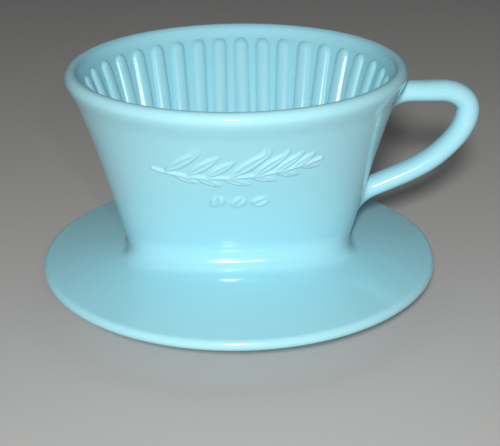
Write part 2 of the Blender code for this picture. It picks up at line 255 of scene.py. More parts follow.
def slab(name, points, quads):
    """One object from the floor's cells: a plain merge of their shared sides by position."""
    keys = np.round(points / 1e-6).astype(np.int64)
    _, first, index = np.unique(keys, axis=0, return_index=True, return_inverse=True)
    quads = index.reshape(-1)[quads]
    # A side that two cells share is inside the slab: both copies of it go.
    _, group, copies = np.unique(
        np.sort(quads, axis=1), axis=0, return_inverse=True, return_counts=True
    )
    quads = quads[copies[group.reshape(-1)] == 1]
    points = points[first]
    mesh = bpy.data.meshes.new(name)
    mesh.from_pydata(points.tolist(), [], quads.tolist())
    mesh.validate()
    mesh.shade_smooth()
    value = mesh.attributes.new("pooling_and_shade", "FLOAT", "POINT")
    value.data.foreach_set("value", np.full(len(points), 0.4, np.float32))
    piece = bpy.data.objects.new(name, mesh)
    bpy.context.collection.objects.link(piece)
    return piece


def join_frame(piece, node, material):
    """The piece rides on the model's one body and stands for its CAD node."""
    piece.data.materials.append(material)
    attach(piece, "root")
    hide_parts(node)


# -------------------------------------------------------------------- shared surfaces


LIP_RADIUS = 2.3 * MM
LIP_UNDERCUT = math.radians(60.0)
LIP_LEAN = math.radians(27.0)
FLOOR_LEVEL = FLOOR_HIGH[2] + 0.3 * MM
FLOOR_HALF_LENGTH = 26.03 * MM
FLOOR_HALF_DEPTH = 9.5 * MM
SPIGOT_WALL = 2.0 * MM
FIRST_RIB = math.radians(7.0)
RIB_GATHER = math.radians(2.7)
SAUCER_EDGE_HEIGHT = 13.0 * MM
SAUCER_EDGE_HALF = 1.8 * MM
SAUCER_LAND_HEIGHT = FOOT_HIGH[2]
SAUCER_LAND_RADIUS = 52.0 * MM
FOOT_INNER_RADIUS = 32.0 * MM
HIDDEN_OVERLAP = 1.2 * MM  # how far the cone's glaze runs on inside the neck
LUTE_DEPTH = 0.04 * MM  # how far a hidden edge lies under the glaze
WALL_RELIEF_MIDDLE = 54.6 * MM
WALL_RELIEF_LEAN = 0.87  # height gained per length up the front wall
DRIP_HOLE_RADIUS = 1.75 * MM
DRIP_HOLE_SPACING = 14.0 * MM
FLOOR_COLUMNS = 72


def oval(half_length, half_depth, squareness, angles):
    """Superellipse |x/a|^n + |y/b|^n = 1 by eccentric angle, and its outward normals."""
    power = 2 / squareness
    cosine, sine = np.cos(angles), np.sin(angles)
    unit_x = np.sign(cosine) * np.abs(cosine) ** power
    unit_y = np.sign(sine) * np.abs(sine) ** power
    slope = squareness - 1
    normal_x = np.sign(unit_x) * np.abs(unit_x) ** slope / half_length
    normal_y = np.sign(unit_y) * np.abs(unit_y) ** slope / half_depth
    size = np.hypot(normal_x, normal_y)
    return half_length * unit_x, half_depth * unit_y, normal_x / size, normal_y / size


def outside_size(sizes, z):
    """Half length, half depth and squareness of the cone's outside at height z.

    With t from 0 at the neck to 1 at the lip, each half size goes from the neck's to the
    rim's along s t + (1 - s) t^3, a straight part and a cubic flare.
    """
    top = sizes.total_height - LIP_RADIUS * (1 + math.sin(LIP_UNDERCUT))
    top_radius = sizes.rim_radius - LIP_RADIUS * (1 - math.cos(LIP_UNDERCUT))
    t = (z - sizes.neck_height) / (top - sizes.neck_height)
    along = 0.83 * t + 0.17 * t**3
    across = 0.92 * t + 0.08 * t**3
    return (
        sizes.neck_half_length + (top_radius - sizes.neck_half_length) * along,
        sizes.neck_half_depth + (top_radius - sizes.neck_half_depth) * across,
        2.4 - 0.4 * np.clip(t, 0.0, 1.0),
    )


def outside_wall(sizes, z, angles):
    """Points of the cone's outside at heights z and eccentric angles, which broadcast."""
    x, y, _, _ = oval(*outside_size(sizes, z), angles)
    return at_height(x, y, z)


def wall_frame(sizes, z, angles):
    """Points of the outside with the wall's upward and outward directions, from slopes."""
    step = 0.05 * MM
    here = outside_wall(sizes, z, angles)
    upward = unit(outside_wall(sizes, z + step, angles) - here)
    round_about = outside_wall(sizes, z, angles + 1e-4) - here
    outward = unit(np.cross(round_about, upward))
    return here, unit(np.cross(outward, unit(round_about))), outward


def inside_size(sizes, z):
    """Half length, half depth and squareness of the wall's inside, down into the well.

    Above the neck it is the outside less the wall's thickness. Below it the walls draw in
    along a straight line plus a square term that reaches the floor's size at its level.
    """
    neck = sizes.neck_height
    at = np.maximum(z, neck)
    step = 0.1 * MM
    length, depth, squareness = outside_size(sizes, at)
    length_up, depth_up, _ = outside_size(sizes, at + step)
    end_slope, flank_slope = (length_up - length) / step, (depth_up - depth) / step
    length = length - sizes.wall * np.hypot(1, end_slope)
    depth = depth - sizes.wall * np.hypot(1, flank_slope)
    down = np.maximum(neck - z, 0.0)
    well = neck - FLOOR_LEVEL
    bend = (down / well) ** 2
    length = length - end_slope * down - (length - FLOOR_HALF_LENGTH - end_slope * well) * bend
    depth = depth - flank_slope * down - (depth - FLOOR_HALF_DEPTH - flank_slope * well) * bend
    return length, depth, squareness


def inside_wall(sizes, z, angles, outward=0.0):
    """Points of the inside at heights z, moved level along the oval's normals."""
    x, y, normal_x, normal_y = oval(*inside_size(sizes, z), angles)
    return at_height(x + normal_x * outward, y + normal_y * outward, z)


def saucer_height(sizes, radius):
    """Height of the saucer's top: a parabola that falls by the rise from axis to edge."""
    edge_top = SAUCER_EDGE_HEIGHT + SAUCER_EDGE_HALF
    edge_radius = sizes.saucer_radius - SAUCER_EDGE_HALF
    return edge_top + sizes.saucer_rise * (1 - (radius / edge_radius) ** 2)


# ----------------------------------------------------------------- relief on the wall


def leaf(along, up, foot, tip, half_width):
    """Height from 0 to 1 of one pointed leaf with a sunk midrib.

    p runs from foot to tip and q across. The blade's half width is w sin(pi p^0.8)^0.8,
    its edge rises over half a millimetre, and its midrib sinks as a narrow Gaussian.
    """
    foot, tip = np.array(foot) * MM, np.array(tip) * MM
    length = np.linalg.norm(tip - foot)
    way = (tip - foot) / length
    p = ((along - foot[0]) * way[0] + (up - foot[1]) * way[1]) / length
    q = -(along - foot[0]) * way[1] + (up - foot[1]) * way[0]
    inside = np.clip(p, 0.0, 1.0)
    blade = half_width * MM * np.sin(math.pi * inside**0.8) ** 0.8
    edge = smooth_step(0.0, 0.55 * MM, blade - np.abs(q)) * (p > 0) * (p < 1)
    midrib = np.exp(-((q / (0.28 * MM)) ** 2)) * smooth_step(0.05, 0.2, p)
    return edge * (1 - 0.55 * midrib)


def stem(along, up, points, half_width):
    """Height from 0 to 1 of a stroke along the quadratic curve through three points."""
    start, middle, end = (np.array(p) * MM for p in points)
    shares = np.linspace(0, 1, 25)[:, None]
    bend = 2 * middle - (start + end) / 2
    line = start * (1 - shares) ** 2 + bend * 2 * shares * (1 - shares) + end * shares**2
    legs = line[1:] - line[:-1]
    apart = np.stack([along, up], axis=-1)[..., None, :] - line[:-1]
    share = np.clip(np.einsum("...k,...k->...", apart, legs) / (legs**2).sum(-1), 0, 1)
    distance = np.linalg.norm(apart - share[..., None] * legs, axis=-1).min(-1)
    return smooth_step(half_width * 1.5 * MM, half_width * 0.35 * MM, distance)


def bean(along, up, middle, half_length, half_width, turn):
    """Height from 0 to 1 of a coffee bean: a domed ellipse with a wavy crease along it."""
    x, y = along - middle[0] * MM, up - middle[1] * MM
    p = (x * math.cos(turn) + y * math.sin(turn)) / (half_length * MM)
    q = (-x * math.sin(turn) + y * math.cos(turn)) / (half_width * MM)
    dome = smooth_step(1.0, 0.62, np.hypot(p, q))
    crease = np.exp(-(((q - 0.18 * np.sin(math.pi * p)) / 0.2) ** 2))
    return dome * (1 - 0.75 * crease * smooth_step(1.0, 0.7, np.abs(p)))


def sprig(along, up):
    """Height from 0 to 1 of the moulded coffee sprig with three beans under it."""
    height = stem(along, up, [(-25.0, 2.6), (-2.0, 0.6), (23.5, 6.2)], 0.55)
    leaves = [
        ((-21.5, 2.2), (-9.8, 12.6), 1.9),
        ((-15.0, 1.4), (-5.0, 10.2), 1.8),
        ((-9.5, 0.9), (-0.6, 8.2), 1.6),
        ((-3.0, 0.7), (10.4, 12.8), 2.0),
        ((4.0, 1.5), (15.0, 11.4), 1.7),
        ((9.8, 2.4), (19.0, 10.6), 1.5),
        ((15.0, 3.7), (22.4, 9.6), 1.3),
        ((-19.0, 1.8), (-11.8, -2.6), 1.5),
        ((-12.6, 1.0), (-4.6, -3.8), 1.5),
        ((-5.0, 0.6), (3.6, -3.2), 1.5),
        ((2.8, 1.3), (11.2, -1.6), 1.4),
        ((10.0, 2.4), (17.6, 0.3), 1.3),
        ((17.0, 4.0), (23.6, 2.8), 1.1),
    ]
    for foot, tip, half_width in leaves:
        height = np.maximum(height, leaf(along, up, foot, tip, half_width))
    for middle, turn in (((-6.5, -10.6), 1.25), ((-0.4, -10.9), 0.75), ((6.0, -10.8), 0.3)):
        height = np.maximum(height, bean(along, up, middle, 3.1, 2.4, turn))
    return height


# ------------------------------------------------------------------------ filter cone


def cone_columns(sizes):
    """Columns of the cone: the rib each belongs to, and its share of that rib's pitch.

    Shares run from -1/2 to 1/2 about the rib's middle. The pitches across the front, where
    the sprig is, have more columns than the others.
    """
    numbers = np.arange(sizes.rib_count)
    bearing = np.degrees(FIRST_RIB + numbers * math.tau / sizes.rib_count)
    counts = np.where(np.abs(bearing - 270) < 37, 22, 14)
    rib = np.repeat(numbers, counts)
    place = np.concatenate([(np.arange(count) + 0.5) / count - 0.5 for count in counts])
    return rib, place


def gathered(sizes, place):
    """Eccentric angle of a place counted in rib pitches: a + g sin 2a draws flanks together."""
    angle = FIRST_RIB + place * math.tau / sizes.rib_count
    return angle + RIB_GATHER * np.sin(2 * angle)


def rib_grid(sizes, z, rib, place, rib_top):
    """Angles of the inside's columns at heights z, the ribs' height there, and how dark the glaze is
    painted: painted shade over the whole inside, darker in the grooves, and a painted shade line along
    each rib's foot.

    A column's distance from its rib's middle line is w sin(pi u / 0.72) up to the share
    u = 0.36 of the pitch, where the rib's half width w ends, and even from there on. With d
    that distance over w, the rib is h (1 - d^3)^0.9, a flat-crested round with steep flanks. Its
    top end is round: there d also counts how far a point is past the last half width.
    """
    before = inside_wall(sizes, z, gathered(sizes, rib - 0.5))
    after = inside_wall(sizes, z, gathered(sizes, rib + 0.5))
    pitch = np.linalg.norm(after - before, axis=-1)
    half_width = np.minimum(sizes.rib_width / 2, 0.38 * pitch)
    share = np.abs(place)
    on_rib = half_width * np.sin(math.pi / 2 * np.minimum(share / 0.36, 1.0))
    off_rib = (pitch / 2 - half_width) * np.maximum(share - 0.36, 0.0) / 0.14
    across = on_rib + off_rib
    angles = gathered(sizes, rib + np.sign(place) * across / pitch)
    past = np.maximum(z - (rib_top - half_width), 0.0)
    d = np.hypot(across, past) / half_width
    height = sizes.rib_height * half_width * 2 / sizes.rib_width
    height = height * (1 - np.clip(d, 0.0, 1.0) ** 3) ** 0.9
    below = smooth_step(rib_top + 1.6 * MM, rib_top - 0.4 * MM, z)
    # Darker in the grooves; the Gaussian at d = 1.04 is a painted shade line along each rib's foot. The
    # 0.3 returned below is painted shade over the whole inside.
    groove = 0.55 * smooth_step(0.8, 1.1, d) + 0.45 * np.exp(-(((d - 1.04) / 0.14) ** 2))
    return angles, height, 0.3 + 0.7 * groove * below


def cone_outer_rows(sizes, angles, wall_end):
    """Rows up the outside from just inside the neck to the wall's end, with the sprig."""
    neck = sizes.neck_height
    levels = np.concatenate(
        [
            np.linspace(-HIDDEN_OVERLAP, 0.0, 4)[:-1],
            np.linspace(0.0, 11.5 * MM, 9)[:-1],
            np.linspace(11.5 * MM, 35.5 * MM, 64)[:-1],
            np.linspace(35.5 * MM, wall_end - neck, 4),
        ]
    )
    z = np.broadcast_to((neck + levels)[:, None], (len(levels), len(angles)))
    grid, _, outward = wall_frame(sizes, z, angles)
    sink = LUTE_DEPTH * smooth_step(0.0, -HIDDEN_OVERLAP, z - neck)
    grid = grid - outward * sink[..., None]
    front = (grid[..., 1] < 0) & (np.abs(grid[..., 0]) < 30 * MM)
    along = grid[..., 0]
    up = (grid[..., 2] - WALL_RELIEF_MIDDLE) / WALL_RELIEF_LEAN
    height = np.where(front, sprig(along, up), 0.0)
    grid = grid + outward * (sizes.relief_height * height)[..., None]
    return grid, height


def lip_rows(sizes, angles, wall_end):
    """Rows over the lip: a cubic out of the wall, then a round bead turned about the axis.

    The cubic leaves the wall along it at wall_end and reaches the bead along the bead's own
    circle, a little under its widest point.
    """
    first, last = -math.radians(16.0), math.pi - LIP_LEAN
    turn = np.linspace(first, last, 19)[:, None]
    radius = sizes.rim_radius - LIP_RADIUS + LIP_RADIUS * np.cos(turn)
    z = sizes.total_height - LIP_RADIUS + LIP_RADIUS * np.sin(turn)
    x, y, _, _ = oval(radius, radius, ROUND, angles[None, :])
    bead = at_height(x, y, z)
    start, upward, _ = wall_frame(sizes, np.full(len(angles), wall_end), angles)
    out = np.stack([np.cos(angles), np.sin(angles), np.zeros(len(angles))], axis=1)
    arrive = -out * math.sin(first) + np.array([0.0, 0.0, math.cos(first)])
    rise = bead[0, 0, 2] - wall_end
    shares = np.linspace(0, 1, 11)
    flare = hermite(start, upward * rise * 1.1, bead[0], arrive * rise * 0.9, shares)
    return np.concatenate([flare[1:-1], bead])


def filter_cone(sizes):
    """Grid of the whole cone, up the outside and down the ribs, its pooling and painted shade, and its
    wear.
    """
    rib, place = cone_columns(sizes)
    angles = gathered(sizes, rib + place)
    wall_end = sizes.total_height - 9.5 * MM
    outer, relief = cone_outer_rows(sizes, angles, wall_end)
    lip = lip_rows(sizes, angles, wall_end)
    # Down the inside: closer rows over the ribs' round ends. The columns pass from the
    # outside's even spacing to the ribs' own in the rows between the lip and the ribs.
    inner_top = lip[-1, 0, 2]
    rib_top = sizes.total_height - 4.1 * MM
    levels = np.concatenate(
        [
            inner_top + (rib_top + 0.15 * MM - inner_top) * np.linspace(0, 1, 7)[1:-1],
            rib_top + 0.15 * MM - 2.6 * MM * np.linspace(0, 1, 13) ** 1.4,
            np.linspace(rib_top - 2.45 * MM, FLOOR_LEVEL, 31)[1:],
        ]
    )
    z = np.broadcast_to(levels[:, None], (len(levels), len(angles)))
    rib_angles, height, groove = rib_grid(sizes, z, rib, place, rib_top)
    settled = smooth_step(inner_top, rib_top + 0.15 * MM, z)
    inner_angles = angles * (1 - settled) + rib_angles * settled
    inner = inside_wall(sizes, z, inner_angles)
    gap = lip[-1] - inside_wall(sizes, np.full(len(angles), inner_top), angles)
    inner = inner + gap * np.exp(-(inner_top - z) / (3 * MM))[..., None]
    normals = grid_normals(inner)
    toward_axis = -np.sign(np.einsum("...k,...k->...", normals[..., :2], inner[..., :2]))
    inner = inner + normals * (toward_axis * height)[..., None]
    # Round the foot of the spigot and up its outside, hidden in the neck's socket.
    foot = inside_wall(sizes, np.full(len(angles), FLOOR_LEVEL), angles, SPIGOT_WALL)
    climb = np.linspace(FLOOR_LEVEL, sizes.neck_height - 1.4 * MM, 7)[1:, None]
    spigot = inside_wall(sizes, np.broadcast_to(climb, (6, len(angles))), angles, SPIGOT_WALL)
    grid = np.concatenate([outer, lip, inner, foot[None], spigot])
    # Over the lip: the glaze is drawn thin across its top, the Gaussian at 0.82 is a painted shade line
    # along the lip's inner edge, and the values rise into the inside's painted shade.
    over = np.linspace(0, 1, len(lip) - 9)
    lip_over = 0.3 * smooth_step(0.5, 1.0, over) - 0.35 * np.sin(math.pi * over) ** 2
    lip_over = lip_over + 0.7 * np.exp(-(((over - 0.82) / 0.1) ** 2))
    lip_thin_and_shade = np.concatenate([np.zeros(9), lip_over])
    # On the sprig: thin glaze over its tops, and darker flanks, partly gathered glaze and partly
    # painted shade.
    around = 0.35 * smooth_step(0.0, 0.25, relief) * smooth_step(0.7, 0.3, relief)
    outer_pooling_and_shade = around - 0.45 * smooth_step(0.55, 1.0, relief)
    rest = np.zeros((len(spigot) + 1, len(angles)))
    pooling_and_shade = [outer_pooling_and_shade, np.broadcast_to(lip_thin_and_shade[:, None], lip.shape[:2]), groove, rest]
    worn = np.zeros(grid.shape[:2])
    worn[len(outer) + len(lip) :] = 0.3
    return grid, np.concatenate(pooling_and_shade), worn


# ----------------------------------------------------------------------------- saucer


def saucer(sizes):
    """Grid of the saucer: down the neck, over its fillet, out to the edge, back below.

    The fillet is a cubic from the wall to the saucer's top. Its legs, measured from the
    line where the two would cross, grow from the ends of the oval to its flanks.
    """
    angles = np.linspace(0, math.tau, 360, endpoint=False)
    neck = sizes.neck_height
    corner_z = np.full(len(angles), neck - 10 * MM)
    for _ in range(8):
        corner = outside_wall(sizes, corner_z, angles)
        corner_z = saucer_height(sizes, np.linalg.norm(corner[:, :2], axis=1))
    corner = outside_wall(sizes, corner_z, angles)
    _, _, out_x, out_y = oval(*outside_size(sizes, corner_z), angles)
    flankness = smooth_step(0.15, 0.95, np.abs(out_y))
    leg_up = (2.8 + 5.4 * flankness) * MM
    leg_out = (2.8 + 6.0 * flankness) * MM
    start, upward, _ = wall_frame(sizes, corner_z + leg_up, angles)
    end_flat = corner[:, :2] + np.stack([out_x, out_y], 1) * leg_out[:, None]

    def on_saucer(flat):
        return np.column_stack([flat, saucer_height(sizes, np.linalg.norm(flat, axis=1))])

    end = on_saucer(end_flat)
    ahead = on_saucer(end_flat + np.stack([out_x, out_y], 1) * 0.1 * MM)
    shares = np.linspace(0, 1, 30)
    strength = 1.75
    fillet = hermite(
        start,
        -upward * (leg_up * strength)[:, None],
        end,
        unit(ahead - end) * (leg_out * strength)[:, None],
        shares,
    )
    # Ripples run along the neck, strongest at the middle of the front and of the back.
    normals = grid_normals(fillet)
    normals = normals * np.sign(normals[..., 2:3].mean())
    across = np.clip(1 - (fillet[..., 0] / (26 * MM)) ** 2, 0, 1)
    wave = np.sin(shares[:, None] * 4.4 * math.tau + 0.6 + fillet[..., 0] / (60 * MM))
    swell = wave * across * flankness * np.sin(shares * math.pi)[:, None]
    fillet = fillet + normals * (sizes.ripple * swell)[..., None]
    # The neck's own wall rises straight from the fillet to just inside the cone.
    collar_z = neck + 1.0 * MM + (start[:, 2] - neck - 1.0 * MM) * np.linspace(0, 1, 6)[:, None]
    collar, _, collar_out = wall_frame(sizes, collar_z[:-1], angles)
    sink = LUTE_DEPTH * smooth_step(0.0, 1.0 * MM, collar[..., 2] - neck)
    collar = collar - collar_out * sink[..., None]
    edge_radius = sizes.saucer_radius - SAUCER_EDGE_HALF
    around = np.stack([np.cos(angles), np.sin(angles)], axis=1)
    eased = np.linspace(0, 1, 22)[1:, None, None]
    flat = fillet[-1][:, :2] * (1 - eased) + around * edge_radius * eased
    top = np.concatenate(
        [flat, saucer_height(sizes, np.linalg.norm(flat, axis=-1))[..., None]], axis=-1
    )
    turn = np.linspace(math.pi / 2, -math.pi / 2, 15)[1:]
    edge_profile = np.column_stack(
        [
            edge_radius + SAUCER_EDGE_HALF * np.cos(turn),
            SAUCER_EDGE_HEIGHT + SAUCER_EDGE_HALF * np.sin(turn),
        ]
    )
    t = np.linspace(0, 1, 13)[1:]
    under_radius = edge_radius + (SAUCER_LAND_RADIUS - edge_radius) * t
    under_z = SAUCER_EDGE_HEIGHT - SAUCER_EDGE_HALF
    under_z = under_z + (SAUCER_LAND_HEIGHT - under_z) * (3 * t**2 - 2 * t**3)
    land_radius = np.linspace(SAUCER_LAND_RADIUS, 33.0 * MM, 10)[1:]
    profile = np.concatenate(
        [
            edge_profile,
            np.column_stack([under_radius, under_z]),
            np.column_stack([land_radius, np.full(9, SAUCER_LAND_HEIGHT)]),
        ]
    )
    below = turned(profile, angles)
    # Under the well the saucer turns down in a cove against the spigot, then up its socket.
    land = np.full(len(angles), SAUCER_LAND_HEIGHT)
    cove = 1.4 * MM
    boss = inside_wall(sizes, land, angles, SPIGOT_WALL)
    low = inside_wall(sizes, land - cove, angles, SPIGOT_WALL)
    _, _, side_x, side_y = oval(*inside_size(sizes, land), angles)
    side = at_height(side_x, side_y, 0.0)
    cove_rows = hermite(
        boss + side * cove,
        -side * cove * 1.6,
        low - side * 0.03 * MM,
        (low - boss) * 1.6,
        np.linspace(0, 1, 8),
    )
    spokes = below[-1] + (cove_rows[0] - below[-1]) * np.linspace(0, 1, 5)[1:-1, None, None]
    climb = np.linspace(SAUCER_LAND_HEIGHT, neck - 1.5 * MM, 6)[:, None]
    socket = inside_wall(
        sizes, np.broadcast_to(climb, (6, len(angles))), angles, SPIGOT_WALL + 0.3 * MM
    )
    grid = np.concatenate([collar, fillet, top, below, spokes, cove_rows, socket])
    pooling_and_shade = np.zeros(grid.shape[:2])
    first = len(collar)
    pooling_and_shade[first : first + len(fillet)] = (0.25 * np.sin(shares * math.pi) ** 2)[:, None]
    edge = first + len(fillet) + len(top)
    pooling_and_shade[edge : edge + len(turn)] = -0.35 * np.cos(turn)[:, None]
    pooling_and_shade[edge - 1] = -0.15
    return grid, pooling_and_shade


# ----------------------------------------------------------------------------- handle


def handle_line(sizes):
    """Middle line of the loop in XZ: five cubics through six knots.

    Each knot holds x, z, the direction of travel, and how far its handles reach in and out.
    """
    arm = sizes.total_height - 10.15 * MM
    bend = sizes.total_height - 16.5 * MM
    reach = HANDLE_HIGH[0] - AXIS_X - 3.65 * MM
    knots = [
        (sizes.rim_radius - 6.5 * MM, arm, (1, 0), 0, 4.0 * MM),
        (reach - 8.7 * MM, arm, (1, 0), 5.0 * MM, 4.9 * MM),
        (reach, bend, (0, -1), (arm - bend) * 0.55, 5.6 * MM),
        (reach - 9.0 * MM, bend - 14.8 * MM, (-0.76, -0.65), 6.4 * MM, 6.5 * MM),
        (reach - 26.2 * MM, bend - 24.0 * MM, (-0.92, -0.39), 6.3 * MM, 4.0 * MM),
        (reach - 36.5 * MM, bend - 28.4 * MM, (-0.92, -0.39), 4.0 * MM, 0),
    ]
    t = np.linspace(0, 1, 40, endpoint=False)[:, None]
    parts = []
    for start, end in zip(knots, knots[1:]):
        a, d = np.array(start[:2]), np.array(end[:2])
        b = a + np.array(start[2]) / np.linalg.norm(start[2]) * start[4]
        c = d - np.array(end[2]) / np.linalg.norm(end[2]) * end[3]
        parts.append(
            a * (1 - t) ** 3 + b * 3 * t * (1 - t) ** 2 + c * 3 * t**2 * (1 - t) + d * t**3
        )
    line = np.concatenate(parts + [np.array([knots[-1][:2]])])
    travelled = np.concatenate([[0], np.cumsum(np.linalg.norm(np.diff(line, axis=0), axis=1))])
    even = np.linspace(0, travelled[-1], 150)
    return np.column_stack([np.interp(even, travelled, line[:, i]) for i in range(2)])


def wall_gap(sizes, points):
    """How far points are outside the cone, about: the superellipse's own measure times size."""
    length, depth, squareness = outside_size(sizes, points[..., 2])
    measure = np.abs(points[..., 0] / length) ** squareness
    measure = measure + np.abs(points[..., 1] / depth) ** squareness
    return (measure ** (1 / squareness) - 1) * length


def wall_normal(sizes, points):
    """Outward normals of the cone at points, from differences of the gap."""
    step = 0.02 * MM
    parts = [
        wall_gap(sizes, points + way) - wall_gap(sizes, points - way)
        for way in step * np.eye(3)
    ]
    return unit(np.stack(parts, axis=-1))


def root_rows(sizes, ring, way, centre, spread, count):
    """Rows from a ring of the loop to a feathered edge on the wall of the cone.

    Each point runs along way to the wall, by halving; that is its corner. The rows follow
    the quadratic curve with that corner as its control point, and end on the wall at the
    distance spread beyond the corner, a hair under the glaze.
    """
    near, far = np.zeros(len(ring)), np.full(len(ring), 30 * MM)
    for _ in range(40):
        middle = (near + far) / 2
        outside = wall_gap(sizes, ring + way * middle[:, None]) > 0
        near, far = np.where(outside, middle, near), np.where(outside, far, middle)
    corner = ring + way * near[:, None]
    normal = wall_normal(sizes, corner)
    away = corner - (centre + way * np.median(near))
    away = unit(away - normal * np.einsum("ij,ij->i", away, normal)[:, None])
    edge = corner + away * spread[:, None]
    for _ in range(4):
        edge = edge - wall_normal(sizes, edge) * wall_gap(sizes, edge)[:, None] * 0.9
    normal = wall_normal(sizes, edge)
    edge = edge - normal * 0.03 * MM
    lift = corner - way * np.minimum(spread * 1.15, near * 0.95)[:, None]
    t = np.linspace(0, 1, count)[:, None, None]
    rows = lift * (1 - t) ** 2 + corner * 2 * t * (1 - t) + edge * t**2
    sunk = edge - normal * 0.5 * MM + (centre - edge) * 0.03
    return np.concatenate([rows, sunk[None]])


def handle(sizes):
    """Grid of the handle: an oval carried along the loop, with a root at each end."""
    line = handle_line(sizes)
    tangent = unit(np.gradient(line, axis=0))
    outward = np.column_stack([-tangent[:, 1], tangent[:, 0]])
    bend = sizes.total_height - 16.5 * MM
    outermost = line[:, 0].max()
    from_bend = np.hypot(line[:, 0] - outermost, line[:, 1] - bend)
    nearness = np.exp(-((from_bend / (9 * MM)) ** 2))
    thickness = (3.2 + 0.45 * nearness) * MM
    width = sizes.handle_half_width * (1 - 0.04 * nearness)
    around = np.linspace(0, math.tau, 56, endpoint=False)
    # The section is a superellipse a little fuller than an ellipse.
    cosine = np.sign(np.cos(around)) * np.abs(np.cos(around)) ** 0.92
    sine = np.sign(np.sin(around)) * np.abs(np.sin(around)) ** 0.92
    side = thickness[:, None] * cosine
    grid = np.stack(
        [
            line[:, :1] + outward[:, :1] * side,
            width[:, None] * sine,
            line[:, 1:] + outward[:, 1:] * side,
        ],
        axis=-1,
    )
    clear = wall_gap(sizes, grid).min(axis=1)
    kept = np.flatnonzero(clear > 7.4 * MM)
    first, last = kept[0], kept[-1]
    middle = np.column_stack([line[:, 0], np.zeros(len(line)), line[:, 1]])
    ways = np.column_stack([tangent[:, 0], np.zeros(len(line)), tangent[:, 1]])
    below_upper = (1 - cosine) / 2  # 1 under the upper arm, where outward points up
    spread_upper = (1.5 + 1.4 * np.abs(sine) ** 2 + 4.4 * below_upper**2) * MM
    spread_lower = (2.2 + 1.2 * np.abs(sine) ** 2 + 3.2 * (1 - below_upper) ** 2) * MM
    upper = root_rows(sizes, grid[first], -ways[first], middle[first], spread_upper, 16)
    lower = root_rows(sizes, grid[last], ways[last], middle[last], spread_lower, 16)
    full = np.concatenate([upper[::-1], grid[first + 1 : last], lower])
    pooling_and_shade = np.tile(-0.35 * np.abs(cosine) ** 6, (len(full), 1))
    pooling_and_shade[:10] = 0.2
    pooling_and_shade[-10:] = 0.2
    return full, pooling_and_shade


# ------------------------------------------------------------------ floor and the foot


def drip_floor(sizes):
    """Grids of the floor's three cells, each with a round hole, to be merged into one slab.

    In a cell the rows run from its outline in to the hole, down the hole's rounded edges,
    and out again below. The outline's sides between cells are straight, the others follow
    the spigot's oval.
    """
    top, bottom = FLOOR_LEVEL, FLOOR_LOW[2]
    hole, half = DRIP_HOLE_RADIUS, DRIP_HOLE_SPACING / 2
    columns = FLOOR_COLUMNS
    around = (np.arange(columns) + 0.5) * math.tau / columns
    ovals = np.linspace(0, math.tau, 720, endpoint=False)
    size = inside_size(sizes, np.array(FLOOR_LEVEL))
    x, y, normal_x, normal_y = oval(*size, ovals)
    outline = np.column_stack([x + normal_x * SPIGOT_WALL, y + normal_y * SPIGOT_WALL])
    corner_y = np.interp(half, outline[:180, 0][::-1], outline[:180, 1][::-1])
    corner_turn = math.atan2(corner_y, half)
    # The ray nearest each corner of the middle cell's sides goes exactly to the corner.
    folded = np.abs((around + math.pi / 2) % math.pi - math.pi / 2)
    to_corner = np.isclose(folded, folded[np.argmin(np.abs(folded - corner_turn))])
    quadrant = np.stack([np.sign(np.cos(around)), np.sign(np.sin(around))], axis=1)
    exact = quadrant * np.array([math.cos(corner_turn), math.sin(corner_turn)])
    grids = []
    for number in (-1, 0, 1):
        middle = number * DRIP_HOLE_SPACING
        rays = np.stack([np.cos(around), np.sin(around)], axis=1)
        has_side = np.where(rays[:, 0] > 0, number < 1, number > -1)
        meets = to_corner & has_side
        rays = np.where(meets[:, None], exact, rays)
        # Reach of each ray: the nearer of the cell's side and the oval, found by angle.
        bearing = np.arctan2(outline[:, 1], outline[:, 0] - middle)
        order = np.argsort(bearing)
        distance = np.hypot(outline[:, 0] - middle, outline[:, 1])
        wanted = np.arctan2(rays[:, 1], rays[:, 0])
        to_oval = np.interp(wanted, bearing[order], distance[order], period=math.tau)
        to_side = np.where(has_side, half / np.maximum(np.abs(rays[:, 0]), 1e-6), 9.0)
        reach = np.where(meets, to_side, np.minimum(to_oval, to_side))
        edge = meets | (to_oval < to_side)
        inset = np.array([0.0, 0.3, 1.0])[:, None] * MM
        shares = np.linspace(0, 1, 7)[1:, None]
        flat = (reach - MM) * (1 - shares) + (hole + 0.7 * MM) * shares
        flat = np.concatenate([reach - inset, flat])
        turn = np.linspace(math.pi / 2, math.pi, 6)[1:, None]
        rim = hole + 0.7 * MM + 0.7 * MM * np.cos(turn)
        rim_z = 0.7 * MM * (1 - np.sin(turn))
        radii = np.concatenate([flat, np.broadcast_to(rim, (5, columns))])
        drop = np.concatenate([np.zeros((9, columns)), np.broadcast_to(rim_z, (5, columns))])
        rounded = np.zeros((14, columns))
        rounded[:2] = np.array([1.0, 0.3])[:, None] * MM * edge
        radii = np.concatenate([radii, radii[::-1]])
        z = np.concatenate([top - drop, bottom + (drop + rounded)[::-1]])
        grids.append(at_height(middle + radii * rays[:, 0], radii * rays[:, 1], z))
    return grids


